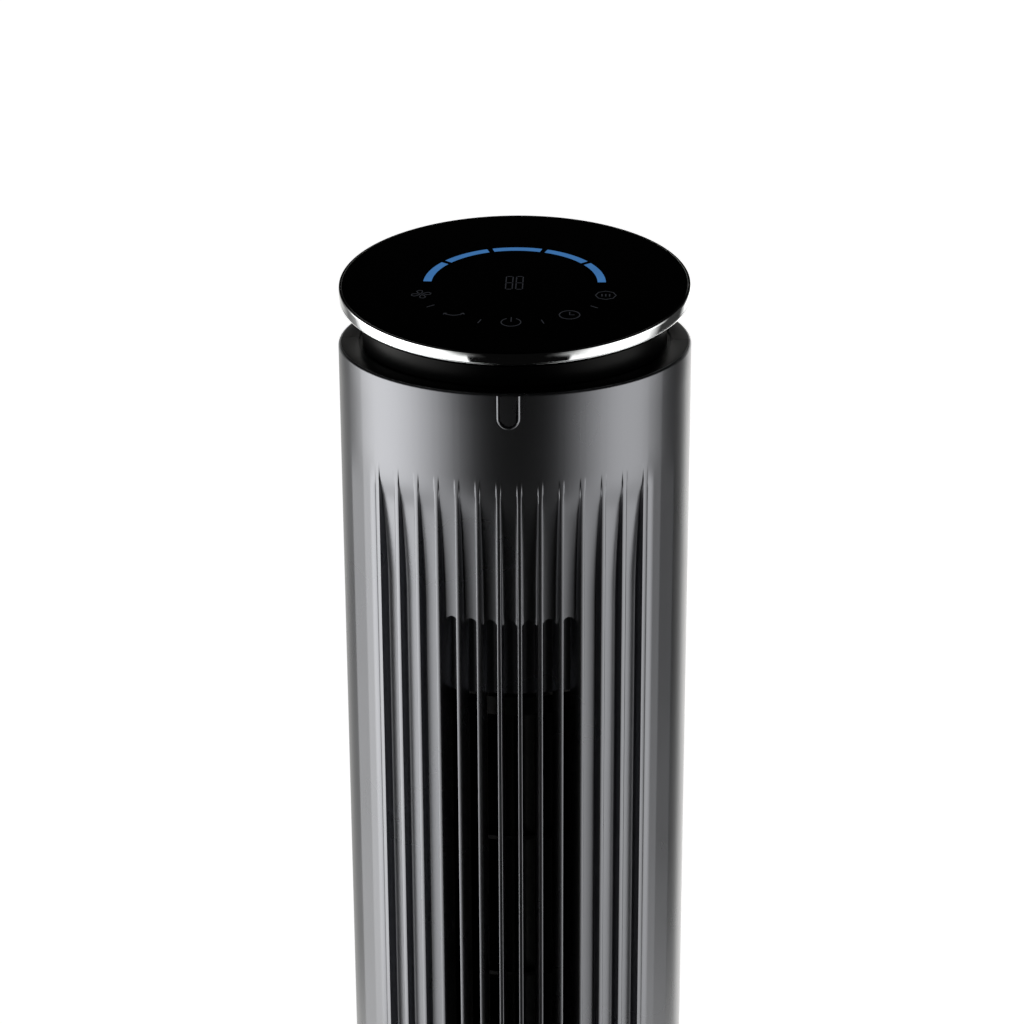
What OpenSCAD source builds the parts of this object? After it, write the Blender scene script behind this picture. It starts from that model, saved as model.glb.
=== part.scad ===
// Tower fan with a tilted glass control disc, a fluted front grille and a swinging column.
// Millimetres. The origin is the centre of the face that the feet stand on, +Z is up, the front faces -Y.

/* [Column] */
// Outside radius of the column
col_r = 80; // [76:0.5:96]
// Wall thickness of the two housing halves
wall = 2.5; // [2:0.1:3]
// Height of the column's lower edge
col_bottom_z = 58; // [56:1:70]
// Height of the column's rim
rim_z = 963; // [800:1:1150]
// Thickness of a ledge
ledge_t = 4; // [3:0.5:5]

/* [Front grille] */
// Number of closed and open flutes
flutes = 13; // [11:2:13]
// Number of flutes in the middle that open into the duct
open_flutes = 7; // [5:2:9]
// Distance between fins
fin_pitch = 9.15; // [7.6:0.05:9.4]
// Width of a fin's crest
fin_land = 1.9; // [1.6:0.1:2.4]
// Depth of a flute below the column's surface
flute_depth = 4.2; // [3:0.1:6]
// Depth of the second step behind the open flutes
step_depth = 11; // [9:0.5:13]
// Material left behind a flute
flute_wall = 2; // [1.5:0.1:3]
// Distance of the flutes' upper ends below the rim
field_drop = 43; // [38:1:60]
// Distance of the upper floor edge below the rim
arch_drop = 109; // [90:1:130]
// Height of the second step
step_h = 36.5; // [25:0.5:45]

/* [Impeller] */
// Distance of the impeller's upper face below the rim
imp_drop = 157; // [150:1:165]
// Number of blades
blades = 24; // [20:1:30]
// Number of segments between the rings
segments = 8; // [5:1:10]
// Radial depth of a blade
blade_depth = 10; // [8:0.5:12]
// Shaft radius
shaft_r = 4; // [3:0.25:5]
// Radial clearance of a running fit
run_gap = 0.05; // [0.03:0.01:0.08]
// Radial clearance of a fixed fit
fit_gap = 0.02; // [0.01:0.01:0.05]

/* [Base] */
// Radius of the base
base_r = 150; // [125:1:180]
// Height of the rubber feet
foot_h = 3; // [2:0.5:5]
// Thickness of the base's lower plate
plate_t = 2.5; // [2:0.5:4]
// Radius of the pivot post
post_r = 15; // [12:0.5:16]
// Height of the ballast ring
weight_t = 8; // [5:0.5:12]

/* [Head] */
// Thickness of the glass
glass_t = 2; // [1.5:0.1:3]
// Height of the glass centre above the rim
head_h = 27.1; // [26:0.5:34]
// Forward tilt of the head in degrees
head_tilt = 6.87; // [3:0.01:8.3]
// Wall of the bright ring
ring_wall = 1.05; // [0.8:0.05:1.5]
// Height of the bright ring
ring_h = 6.5; // [5:0.1:8]
// Mid radius of the light arc
arc_r = 39.4; // [36:0.2:42]
// Width of the light arc
arc_w = 4; // [3:0.1:6]
// Distance of the light arc's centre in front of the glass's centre
arc_fore = 2.5; // [0:0.1:4]
// Radius on which the touch keys lie
key_r = 45; // [45:0.5:46]

/* [Hidden] */
$fn = 96;

// column
in_r = col_r - wall;
inner_gap = 0.3;
ledge_r = in_r - 19.5;
plate_z = col_bottom_z + 2;
plate2_z = plate_z + ledge_t;
low_z = col_bottom_z + 150;
high_z = rim_z - imp_drop + 20;
bulk_t = 4;
bulk_r = in_r - 12.5;
bulk_angles = [35, 145, 270];
bulk_screw_r = bulk_r - 3.5;
window_half = 0.725 * col_r;
window_y = sqrt(in_r * in_r - window_half * window_half) - 4;
window_z = [low_z + 32, rim_z - imp_drop + 54];
window_gap = 0.3;
hoop_pitch = 44;
hoop_h = 4;
bar_pitch = 5;
bar_w = 1.8;
frame_w = 3;
cup_half = 45;
cup_z = [rim_z - 78, rim_z - 38];
cup_y = col_r - 32;
cup_wall = 2;
cup_gap = 0.2;
tower_x = in_r - 8;
tower_h = 9;
tower_w = 4.5;
tower_depth = [10, 42];
tower_z = [col_bottom_z + 42, rim_z - 63];
screw_z = [for (k = [0:4]) tower_z[0] + k * (tower_z[1] - tower_z[0]) / 4];
swivel_screw_r = in_r - 6;
swivel_angles = [for (k = [0:5]) 30 + k * 60];

// holes that screws cut their thread in, and holes that they pass through
bite_r = 1.52;
bite_wide_r = 1.62;
pass_r = 1.7;
pass_wide_r = 2.1;

// front grille
field_z = [col_bottom_z + 54, rim_z - field_drop];
arch_z = [col_bottom_z + 127, rim_z - arch_drop];
flute_w = fin_pitch - fin_land;
flute_x = [for (i = [0:flutes - 1]) (i - (flutes - 1) / 2) * fin_pitch];
thick_r = col_r - flute_depth - flute_wall;
step_r = col_r - step_depth - flute_wall;
open_half = open_flutes * fin_pitch / 2;
field_half = flutes * fin_pitch / 2 + fin_land;
cut_margin = 5;
ir_w = 10;
ir_h = 15.2;
ir_gap = 0.1;

// impeller and its motor
imp_r = 0.6 * col_r;
imp_z = low_z + 21;
imp_top_z = rim_z - imp_drop;
imp_cap_h = 9;
hub_insert_r = 9;
motor_r = 38;
motor_z = [low_z - 62, low_z - 12];
motor_wall = 2;
stator_r = 24;
winding_gap = 10;
bush_r = 8;
bush_h = 8;
mount_r = 46;
mount_angles = [90, 210, 330];
mount_bore = 2.05;
bush_z = high_z - 14;
bearing_r = 7;
bearing_h = 10;
rubber_r = 11;
cap_r = 18;
cap_t = 2.5;
cap_screw_x = 14.6;
duct_gap = 4.5;

// base
seat_z = foot_h + plate_t;
collar_r = col_r - 20;
collar_z = col_bottom_z - 3;
weight_r = [45, base_r - 42];
boss_at = base_r - 32;
boss_angles = [for (k = [0:5]) k * 60];
foot_at = base_r - 18;
foot_r = 9;
foot_edge = 0.8;
gland_z = foot_h + 9;
gland_r = 5;
gland_flange = 1.3;
gland_bore = 3.5;
gland_len = 14;

// swing drive
gear_m = 1;
gear_teeth = 60;
pinion_teeth = 15;
gear_slack = 0.25;
gear_w = 7;
pressure_angle = 20;
gear_z = col_bottom_z - 14;
shoulder_r = 20;
post_flange_r = 32;
post_wall = 5;
post_screw_r = 24;
post_screw_angles = [for (k = [0:3]) 45 + k * 90];
thrust_t = 2;
hub_r = 22;
hub_z = gear_z + gear_w + thrust_t + 0.1;
hub_top_z = col_bottom_z + 14;
clip_t = 2;
clip_gap = 0.3;
groove_d = 1.4;
post_top_z = hub_top_z + 6;
drive_y = gear_m * (gear_teeth + pinion_teeth) / 2 + gear_slack;
stepper_off = 8;
stepper_r = 14;
stepper_h = 19;
stepper_nose_r = 5;
stepper_ear_x = 17.5;
pin_shaft_r = 2.5;

// head
glass_r = col_r - 1.8;
neck_r = col_r - 11;
neck_wall = 3;
neck_screw_r = ledge_r + 4;
neck_screw_angles = [for (k = [0:3]) 45 + k * 90];
flange_w = -ring_h;
well_r = 52;
well_d = 14;
pan_wall = 2;
board_top = -7.4;
board_t = 1.6;
board_r = well_r - 3;
board_screw_r = 41;
board_screw_angles = [0, 90, 180, 252];
key_angles = [for (k = [0:4]) 198 + k * 36];

// power board
power_y = 33.2 - col_r;
power_w = 73;
power_h = 70;
power_z = plate2_z + 2;
power_clip = 8;

module tube(ro, ri, z0, z1) {
    translate([0, 0, z0])
        difference() {
            cylinder(r = ro, h = z1 - z0);
            translate([0, 0, -1]) cylinder(r = ri, h = z1 - z0 + 2);
        }
}

module disc(r, z0, z1) {
    translate([0, 0, z0]) cylinder(r = r, h = z1 - z0);
}

// half of the plane: side -1 is the front, +1 is the rear
module half_plane(side) {
    translate([-200, side > 0 ? 0 : -200]) square([400, 200]);
}

module half_ring(ro, ri, side) {
    intersection() {
        difference() {
            circle(r = ro);
            circle(r = ri);
        }
        half_plane(side);
    }
}

module half_tube(ro, ri, side, z0, z1) {
    translate([0, 0, z0]) linear_extrude(height = z1 - z0) half_ring(ro, ri, side);
}

// a screw that points down: the head sits on z, the shank hangs below
module screw(head_r, head_h, r, len) {
    cylinder(r = head_r, h = head_h);
    translate([0, 0, -len]) cylinder(r = r, h = len + head_h / 2);
}

module polar(r, angles) {
    for (a = angles) rotate([0, 0, a]) translate([r, 0, 0]) children();
}

// the head's own frame: its origin is the middle of the glass, its z is the glass normal
module head_frame() {
    translate([0, 0, rim_z + head_h]) rotate([head_tilt, 0, 0]) children();
}

function involute(rb, t) = [rb * (cos(t) + t * PI / 180 * sin(t)), rb * (sin(t) - t * PI / 180 * cos(t))];
function roll(rb, r) = r <= rb ? 0 : sqrt(pow(r / rb, 2) - 1) * 180 / PI;
function turn(p, a) = [p[0] * cos(a) - p[1] * sin(a), p[0] * sin(a) + p[1] * cos(a)];
function inv_angle(rb, r) = atan2(involute(rb, roll(rb, r))[1], involute(rb, roll(rb, r))[0]);

// outline of one tooth, from its root on one side to its root on the other
function tooth(teeth, addendum, dedendum, thin) =
    let (
        rp = gear_m * teeth / 2,
        rb = rp * cos(pressure_angle),
        ra = rp + addendum,
        rr = rp - dedendum,
        half = 90 / teeth - thin / rp * 90 / PI,
        radii = [for (k = [0:4]) max(rr, rb) + (ra - max(rr, rb)) * k / 4],
        side = [for (r = radii) turn([r, 0], inv_angle(rb, r) - half - inv_angle(rb, rp))]
    )
    concat(
        [turn([rr, 0], -half - inv_angle(rb, rp))],
        side,
        [for (k = [4:-1:0]) [side[k][0], -side[k][1]]],
        [turn([rr, 0], half + inv_angle(rb, rp))]
    );

module gear_outline(teeth) {
    points = tooth(teeth, 0.85 * gear_m, 1.2 * gear_m, 0.12);
    polygon([for (k = [0:teeth - 1]) for (p = points) turn(p, k * 360 / teeth)]);
}

module rubber_feet() {
    color([0.05, 0.05, 0.05])
        polar(foot_at, [for (k = [0:5]) 30 + k * 60])
            union() {
                cylinder(r1 = foot_r - foot_edge, r2 = foot_r, h = foot_edge);
                translate([0, 0, foot_edge]) cylinder(r = foot_r, h = foot_h - foot_edge);
            }
}

module base_plate() {
    color([0.06, 0.06, 0.065])
        difference() {
            disc(base_r - wall - inner_gap, foot_h, seat_z);
            polar(boss_at, boss_angles) cylinder(r = pass_wide_r, h = 20);
            polar(post_screw_r, post_screw_angles) cylinder(r = pass_wide_r, h = 20);
        }
}

// the cover's outline, drawn in by the given amount
module cover_skin(drop) {
    rotate_extrude()
        polygon([
            [0, foot_h - 1],
            [base_r - drop, foot_h - 1],
            [base_r - drop, foot_h + 15],
            [base_r - 5 - drop, foot_h + 20 - drop],
            [collar_r + 6 - drop / 2, foot_h + 35 - drop],
            [collar_r - drop, foot_h + 38 - drop / 2],
            [collar_r - drop, collar_z + drop],
            [0, collar_z + drop]
        ]);
}

module base_cover() {
    color([0.09, 0.09, 0.1])
        difference() {
            union() {
                difference() {
                    intersection() {
                        cover_skin(0);
                        disc(base_r + 1, foot_h, collar_z);
                    }
                    cover_skin(wall);
                }
                intersection() {
                    polar(boss_at, boss_angles) disc(4.2, seat_z, collar_z);
                    cover_skin(wall / 2);
                }
            }
            polar(boss_at, boss_angles) disc(bite_wide_r, seat_z - 1, seat_z + 12);
            translate([0, base_r - 12, gland_z]) rotate([-90, 0, 0]) cylinder(r = gland_r + fit_gap, h = 20);
        }
}

module base_weight() {
    color([0.3, 0.3, 0.31])
        tube(weight_r[1], weight_r[0], seat_z, seat_z + weight_t);
}

module base_screws() {
    color([0.6, 0.6, 0.62])
        polar(boss_at, boss_angles)
            translate([0, 0, foot_h]) rotate([180, 0, 0]) screw(3.6, 1.6, 1.6, 12);
}

module pivot_post() {
    color([0.75, 0.75, 0.72])
        difference() {
            union() {
                disc(post_flange_r, seat_z, seat_z + 4);
                disc(shoulder_r, seat_z, gear_z);
                disc(post_r, seat_z, post_top_z);
            }
            disc(post_r - post_wall, 0, post_top_z + 1);
            translate([0, 0, hub_top_z + clip_gap])
                tube(post_r + 1, post_r - groove_d, -0.05, clip_t + 0.05);
            polar(post_screw_r, post_screw_angles) cylinder(r = bite_wide_r, h = 20);
        }
}

module post_screws() {
    color([0.6, 0.6, 0.62])
        polar(post_screw_r, post_screw_angles)
            translate([0, 0, foot_h]) rotate([180, 0, 0]) screw(3.4, 1.5, 1.6, 6);
}

module swing_gear() {
    color([0.85, 0.85, 0.8])
        translate([0, 0, gear_z])
            difference() {
                rotate([0, 0, 90 + 180 / gear_teeth])
                    linear_extrude(height = gear_w) gear_outline(gear_teeth);
                translate([0, 0, -1]) cylinder(r = post_r + fit_gap, h = gear_w + 2);
            }
}

module thrust_ring() {
    color([0.9, 0.9, 0.86])
        tube(hub_r, post_r + fit_gap, gear_z + gear_w, gear_z + gear_w + thrust_t);
}

module post_clip() {
    color([0.55, 0.55, 0.57])
        tube(post_r + 5, post_r - groove_d + fit_gap, hub_top_z + clip_gap, hub_top_z + clip_gap + clip_t);
}

module cord_gland() {
    color([0.05, 0.05, 0.05])
        translate([0, base_r - gland_len, gland_z]) rotate([-90, 0, 0])
            difference() {
                union() {
                    cylinder(r = gland_r, h = gland_len);
                    cylinder(r = gland_r + gland_flange, h = gland_len - wall - 4);
                }
                translate([0, 0, -1]) cylinder(r = gland_bore, h = gland_len + 2);
            }
}

module swivel_plate() {
    color([0.08, 0.08, 0.085])
        difference() {
            union() {
                disc(in_r - inner_gap, plate_z, plate2_z);
                disc(hub_r, hub_z, hub_top_z);
                for (s = [-1, 1])
                    translate([(s * (power_w + 3) - power_clip) / 2, power_y - 3.2, plate_z])
                        cube([power_clip, power_clip, 20]);
            }
            disc(post_r + run_gap, hub_z - 1, hub_top_z + 1);
            translate([0, drive_y, 0]) disc(stepper_nose_r + fit_gap, plate_z - 1, plate2_z + 1);
            translate([-power_w / 2 - 0.05, power_y - 0.05, power_z])
                cube([power_w + 0.1, board_t + 0.1, 30]);
            for (s = [-1, 1])
                translate([s * stepper_ear_x, drive_y + stepper_off, 0]) disc(1.3, plate_z - 1, plate2_z + 1);
            polar(swivel_screw_r, swivel_angles) disc(pass_wide_r, plate_z - 1, plate2_z + 1);
        }
}

module swivel_screws() {
    color([0.6, 0.6, 0.62])
        polar(swivel_screw_r, swivel_angles)
            translate([0, 0, plate_z]) rotate([180, 0, 0]) screw(3.4, 1.5, 1.5, ledge_t * 2 - 0.5);
}

module swing_motor() {
    color([0.7, 0.7, 0.72])
        difference() {
            union() {
                translate([0, drive_y + stepper_off, plate2_z]) cylinder(r = stepper_r, h = stepper_h);
                translate([-21, drive_y + stepper_off - 3.5, plate2_z]) cube([42, 7, 1]);
                translate([0, drive_y, plate_z + 2.5]) cylinder(r = stepper_nose_r, h = 8);
            }
            translate([0, drive_y, plate_z]) cylinder(r = pin_shaft_r + run_gap, h = 14);
            for (s = [-1, 1])
                translate([s * stepper_ear_x, drive_y + stepper_off, plate2_z - 1]) cylinder(r = 1.3, h = 4);
        }
}

module swing_motor_screws() {
    color([0.6, 0.6, 0.62])
        for (s = [-1, 1])
            translate([s * stepper_ear_x, drive_y + stepper_off, plate2_z + 1]) screw(2.4, 1.4, 1.2, 4.5);
}

// slots between neighbouring fins, whose sides run towards the axis
module flute_cuts(centres, depth) {
    for (x = centres) {
        sides = [x - flute_w / 2, x + flute_w / 2];
        rims = [for (e = sides) [e, -sqrt(col_r * col_r - e * e)]];
        fins = [x - fin_pitch / 2, x + fin_pitch / 2];
        inward = [for (f = fins) [-f, sqrt(col_r * col_r - f * f)] / col_r];
        polygon([
            [sides[0], -col_r - cut_margin],
            rims[0],
            rims[0] + depth * inward[0],
            rims[1] + depth * inward[1],
            rims[1],
            [sides[1], -col_r - cut_margin]
        ]);
    }
}

module thick_front(inner_r, half) {
    half_ring(col_r, in_r, -1);
    intersection() {
        half_ring(col_r - 0.4, inner_r, -1);
        translate([-half, -col_r]) square([2 * half, col_r]);
    }
}

// cross-section of the front half: kind 0 is plain, 1 has closed flutes, 2 has the deeper step, 3 is open
module front_section(kind) {
    middle = [for (x = flute_x) if (abs(x) < open_half) x];
    if (kind == 0)
        half_ring(col_r, in_r, -1);
    else
        difference() {
            union() {
                thick_front(thick_r, field_half);
                if (kind > 1) thick_front(step_r, open_half + fin_land);
            }
            flute_cuts(flute_x, flute_depth);
            if (kind == 2) flute_cuts(middle, step_depth);
            if (kind == 3) flute_cuts(middle, step_depth + flute_wall + 3);
        }
}

module zone(z0, z1, kind) {
    translate([0, 0, z0]) linear_extrude(height = z1 - z0) front_section(kind);
}

module screw_block(side, z, depth) {
    for (s = [-1, 1])
        intersection() {
            translate([s > 0 ? tower_x - tower_w : -col_r, side > 0 ? 0 : -depth, z - tower_h / 2])
                cube([col_r - tower_x + tower_w, depth, tower_h]);
            disc(col_r - 1, z - tower_h, z + tower_h);
        }
}

module ledge_holes(z0, z1, side) {
    for (a = bulk_angles)
        if (sign(sin(a)) == side) polar(bulk_screw_r, [a]) disc(bite_r, z0, z1);
}

module housing_extras(side) {
    half_tube(col_r - 1, ledge_r + 8, side, plate2_z, plate2_z + ledge_t);
    half_tube(col_r - 1, ledge_r, side, low_z - ledge_t, low_z);
    half_tube(col_r - 1, ledge_r, side, high_z + bulk_t, high_z + bulk_t + ledge_t);
    half_tube(col_r, ledge_r, side, rim_z - wall, rim_z);
    for (z = screw_z) screw_block(side, z, tower_depth[side > 0 ? 1 : 0]);
}

module common_holes(side) {
    ledge_holes(low_z - ledge_t - 1, low_z + 1, side);
    ledge_holes(high_z, high_z + bulk_t + ledge_t + 1, side);
    polar(swivel_screw_r, swivel_angles) disc(bite_r, plate2_z - 1, plate2_z + ledge_t + 1);
    polar(neck_screw_r, neck_screw_angles) disc(pass_r, rim_z - wall - 1, rim_z + 1);
}

module ir_shape(gap) {
    translate([0, 0, rim_z - ir_h + ir_w / 2]) rotate([90, 0, 0]) {
        cylinder(r = ir_w / 2 + gap, h = col_r + 5);
        translate([-ir_w / 2 - gap, 0, 0]) cube([ir_w + 2 * gap, ir_h - ir_w / 2 + gap, col_r + 5]);
    }
}

module front_housing() {
    color([0.2, 0.205, 0.215])
        difference() {
            union() {
                zone(col_bottom_z, field_z[0], 0);
                zone(field_z[0], arch_z[0], 1);
                zone(arch_z[0], arch_z[0] + step_h, 2);
                zone(arch_z[0] + step_h, arch_z[1] - step_h, 3);
                zone(arch_z[1] - step_h, arch_z[1], 2);
                zone(arch_z[1], field_z[1], 1);
                zone(field_z[1], rim_z, 0);
                housing_extras(-1);
            }
            common_holes(-1);
            intersection() {
                ir_shape(ir_gap);
                tube(col_r + 2, in_r - 1, rim_z - ir_h - 2, rim_z + 2);
            }
            for (z = screw_z, s = [-1, 1])
                translate([s * tower_x, -tower_depth[0] - 1, z]) rotate([-90, 0, 0])
                    cylinder(r = bite_wide_r, h = tower_depth[0] + 2);
        }
}

module rear_housing() {
    color([0.2, 0.205, 0.215])
        difference() {
            union() {
                half_tube(col_r, in_r, 1, col_bottom_z, rim_z);
                housing_extras(1);
            }
            common_holes(1);
            translate([-window_half, window_y, window_z[0]])
                cube([2 * window_half, col_r, window_z[1] - window_z[0]]);
            translate([-cup_half - cup_wall - cup_gap, cup_y, cup_z[0] - cup_wall - cup_gap])
                cube([
                    2 * (cup_half + cup_wall + cup_gap),
                    40,
                    cup_z[1] - cup_z[0] + 2 * (cup_wall + cup_gap)
                ]);
            for (z = screw_z, s = [-1, 1])
                translate([s * tower_x, -1, z]) rotate([-90, 0, 0]) {
                    cylinder(r = pass_r, h = 12);
                    translate([0, 0, 9]) cylinder(r = 3.8, h = 60);
                }
        }
}

module housing_screws() {
    color([0.1, 0.1, 0.1])
        for (z = screw_z, s = [-1, 1])
            translate([s * tower_x, 8, z]) rotate([-90, 0, 0]) screw(3.4, 2, 1.6, 16);
}

module intake_grille() {
    half = window_half - window_gap;
    z0 = window_z[0] + window_gap;
    z1 = window_z[1] - window_gap;
    hoops = floor((z1 - z0 - 2 * hoop_h) / hoop_pitch);
    step = (z1 - z0 - hoop_h) / hoops;
    bars = floor((half - frame_w - 1) / bar_pitch);
    color([0.16, 0.165, 0.17])
        union() {
            translate([0, 0, z0]) linear_extrude(height = z1 - z0)
                intersection() {
                    half_ring(col_r - 0.2, in_r + 0.1, 1);
                    union() {
                        for (k = [-bars:bars])
                            translate([k * bar_pitch - bar_w / 2, 0]) square([bar_w, col_r]);
                        for (s = [-1, 1])
                            translate([s > 0 ? half - frame_w : -half, 0]) square([frame_w, col_r]);
                    }
                }
            for (k = [0:hoops])
                translate([0, 0, z0 + k * step]) linear_extrude(height = hoop_h)
                    intersection() {
                        half_ring(col_r - 1.2, in_r - 2, 1);
                        translate([-half, 0]) square([2 * half, col_r]);
                    }
        }
}

module carry_handle() {
    z0 = cup_z[0] - cup_wall;
    color([0.06, 0.06, 0.065])
        intersection() {
            difference() {
                translate([-cup_half - cup_wall, cup_y - cup_wall, z0])
                    cube([2 * (cup_half + cup_wall), 40, cup_z[1] - cup_z[0] + 2 * cup_wall]);
                translate([-cup_half, cup_y, cup_z[0]])
                    cube([2 * cup_half, 40, cup_z[1] - cup_z[0]]);
            }
            disc(col_r - cup_gap, z0 - 1, cup_z[1] + cup_wall + 1);
        }
}

module bulkhead(z, hole) {
    difference() {
        disc(bulk_r, z, z + bulk_t);
        disc(hole, z - 1, z + bulk_t + 1);
        polar(bulk_screw_r, bulk_angles) disc(pass_r, z - 1, z + bulk_t + 1);
        children();
    }
}

module lower_bulkhead() {
    color([0.1, 0.1, 0.105])
        bulkhead(low_z, 14) polar(mount_r, mount_angles) disc(mount_bore, low_z - 1, low_z + bulk_t + 1);
}

module upper_bulkhead() {
    color([0.1, 0.1, 0.105])
        difference() {
            union() {
                bulkhead(high_z, 6);
                tube(cap_r, rubber_r + fit_gap, bush_z, high_z + 0.01);
            }
            for (s = [-1, 1]) translate([s * cap_screw_x, 0, 0]) disc(1.22, bush_z - 1, high_z - 2);
        }
}

module bulkhead_screws() {
    color([0.6, 0.6, 0.62]) {
        polar(bulk_screw_r, bulk_angles)
            translate([0, 0, low_z + bulk_t]) screw(3, 1.8, 1.5, bulk_t + ledge_t - 0.5);
        polar(bulk_screw_r, bulk_angles)
            translate([0, 0, high_z]) rotate([180, 0, 0]) screw(3, 1.8, 1.5, bulk_t + ledge_t - 0.5);
    }
}

// a curved duct wall: its radius runs from r0 to r1 as its angle runs from a0 to a1
module duct_wall(a0, a1, r0, r1, steps) {
    angles = [for (k = [0:steps]) a0 + (a1 - a0) * k / steps];
    radii = [for (k = [0:steps]) r0 + (r1 - r0) * k / steps];
    outer = [for (k = [0:steps]) turn([radii[k] + 1, 0], angles[k])];
    inner = [for (k = [steps:-1:0]) turn([radii[k] - 1, 0], angles[k])];
    translate([0, 0, low_z + bulk_t]) linear_extrude(height = high_z - low_z - bulk_t)
        polygon(concat(outer, inner));
}

module scroll_wall() {
    color([0.07, 0.07, 0.075]) duct_wall(128, 238, imp_r + duct_gap, bulk_r - 2, 22);
}

module tongue_wall() {
    color([0.07, 0.07, 0.075]) duct_wall(302, 348, bulk_r - 2, imp_r + duct_gap - 0.5, 10);
}

module motor_case_lower() {
    mid = (motor_z[0] + motor_z[1]) / 2;
    color([0.62, 0.63, 0.65])
        difference() {
            disc(motor_r, motor_z[0], mid);
            disc(motor_r - motor_wall, motor_z[0] + motor_wall, mid + 1);
            disc(bush_r + fit_gap, motor_z[0] - 1, mid);
        }
}

module motor_case_upper() {
    mid = (motor_z[0] + motor_z[1]) / 2;
    color([0.62, 0.63, 0.65])
        difference() {
            union() {
                disc(motor_r, mid, motor_z[1]);
                intersection() {
                    disc(mount_r + 5, motor_z[1], motor_z[1] + 2);
                    for (a = mount_angles)
                        rotate([0, 0, a]) translate([-10, -9, motor_z[1]]) cube([mount_r + 20, 18, 2]);
                }
            }
            disc(motor_r - motor_wall, mid - 1, motor_z[1] - motor_wall);
            disc(bush_r + fit_gap, mid, motor_z[1] + 3);
            polar(mount_r, mount_angles) disc(mount_bore, motor_z[1] - 1, motor_z[1] + 3);
        }
}

module stator() {
    color([0.45, 0.3, 0.2])
        tube(motor_r - motor_wall - fit_gap, stator_r, motor_z[0] + winding_gap, motor_z[1] - winding_gap);
}

module motor_bushes() {
    color([0.7, 0.55, 0.3]) {
        tube(bush_r, shaft_r + run_gap, motor_z[0], motor_z[0] + bush_h);
        tube(bush_r, shaft_r + run_gap, motor_z[1] - bush_h, motor_z[1]);
    }
}

module motor_mounts() {
    color([0.04, 0.04, 0.04])
        polar(mount_r, mount_angles) tube(7, mount_bore, motor_z[1] + 2, low_z);
}

module motor_screws() {
    color([0.6, 0.6, 0.62])
        polar(mount_r, mount_angles)
            translate([0, 0, motor_z[1]]) rotate([180, 0, 0]) screw(4, 2, 2, low_z + bulk_t - motor_z[1]);
}

module top_bearing() {
    color([0.7, 0.55, 0.3]) tube(bearing_r, shaft_r + run_gap, bush_z, bush_z + bearing_h);
}

module bearing_rubber() {
    color([0.04, 0.04, 0.04]) tube(rubber_r, bearing_r + fit_gap, bush_z, bush_z + bearing_h);
}

module bearing_cap() {
    color([0.1, 0.1, 0.105])
        difference() {
            tube(cap_r, shaft_r + 1.5, bush_z - cap_t, bush_z);
            for (s = [-1, 1]) translate([s * cap_screw_x, 0, 0]) disc(1.3, bush_z - 3, bush_z + 1);
        }
}

module bearing_screws() {
    color([0.6, 0.6, 0.62])
        for (s = [-1, 1])
            translate([s * cap_screw_x, 0, bush_z - cap_t]) rotate([180, 0, 0]) screw(2.2, 1.2, 1.2, 9);
}

module power_board() {
    color([0.1, 0.35, 0.2]) translate([-power_w / 2, power_y, power_z]) cube([power_w, board_t, power_h]);
}

module power_parts() {
    color([0.15, 0.15, 0.3]) {
        translate([-30, power_y - 13.2, power_z + 24]) cube([24, 13.2, 20]);
        for (k = [0:2])
            translate([8 + k * 11, power_y, power_z + 34]) rotate([90, 0, 0]) cylinder(r = 4.5, h = 12);
        translate([4, power_y - 8, power_z + 50]) cube([28, 8, 14]);
    }
}

module ir_window() {
    color([0.01, 0.01, 0.01])
        intersection() {
            ir_shape(0);
            half_tube(col_r - 0.05, in_r - 0.5, -1, rim_z - ir_h - 1, rim_z - 0.05);
        }
}

module ir_receiver() {
    color([0.05, 0.05, 0.06])
        union() {
            translate([-9, 9.9 - in_r, rim_z - 26]) cube([18, board_t, 22]);
            translate([-3.5, 3.9 - in_r, rim_z - 14]) cube([7, 6, 8]);
        }
}

module neck() {
    color([0.02, 0.02, 0.022])
        difference() {
            intersection() {
                union() {
                    tube(neck_r, neck_r - neck_wall, rim_z, rim_z + 60);
                    tube(neck_r - 1, ledge_r - 1, rim_z, rim_z + 2.5);
                    polar(neck_screw_r, neck_screw_angles) disc(4, rim_z, rim_z + 7);
                }
                head_frame() translate([0, 0, flange_w - 60]) cylinder(r = 150, h = 60);
            }
            polar(neck_screw_r, neck_screw_angles) disc(bite_r, rim_z - 1, rim_z + 6);
        }
}

module neck_screws() {
    color([0.6, 0.6, 0.62])
        polar(neck_screw_r, neck_screw_angles)
            translate([0, 0, rim_z - wall]) rotate([180, 0, 0]) screw(3, 1.8, 1.5, 8);
}

module head_pan() {
    color([0.03, 0.03, 0.032])
        head_frame()
            difference() {
                union() {
                    disc(glass_r, flange_w, -glass_t);
                    disc(well_r, -well_d, flange_w + 1);
                }
                disc(glass_r - 3, flange_w + pan_wall, 1);
                difference() {
                    disc(well_r - pan_wall, -well_d + pan_wall, 1);
                    polar(board_screw_r, board_screw_angles)
                        disc(3, -well_d, board_top - board_t);
                }
                polar(board_screw_r, board_screw_angles) disc(1.12, -well_d + 0.8, 0);
            }
}

module chrome_ring() {
    r = glass_r + 0.05;
    color([0.85, 0.86, 0.88])
        head_frame()
            union() {
                tube(r + ring_wall, r, -4.6, -0.25);
                tube(r + ring_wall - 0.4, r, -5, -4.5);
                tube(r + ring_wall - 0.1, r, flange_w, -4.9);
            }
}

module touch_glass() {
    color([0.01, 0.01, 0.012]) head_frame() disc(glass_r, -glass_t, 0);
}

module control_board() {
    color([0.08, 0.2, 0.12])
        head_frame()
            difference() {
                disc(board_r, board_top - board_t, board_top);
                polar(board_screw_r, board_screw_angles) disc(1.3, board_top - 3, board_top + 1);
            }
}

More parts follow.
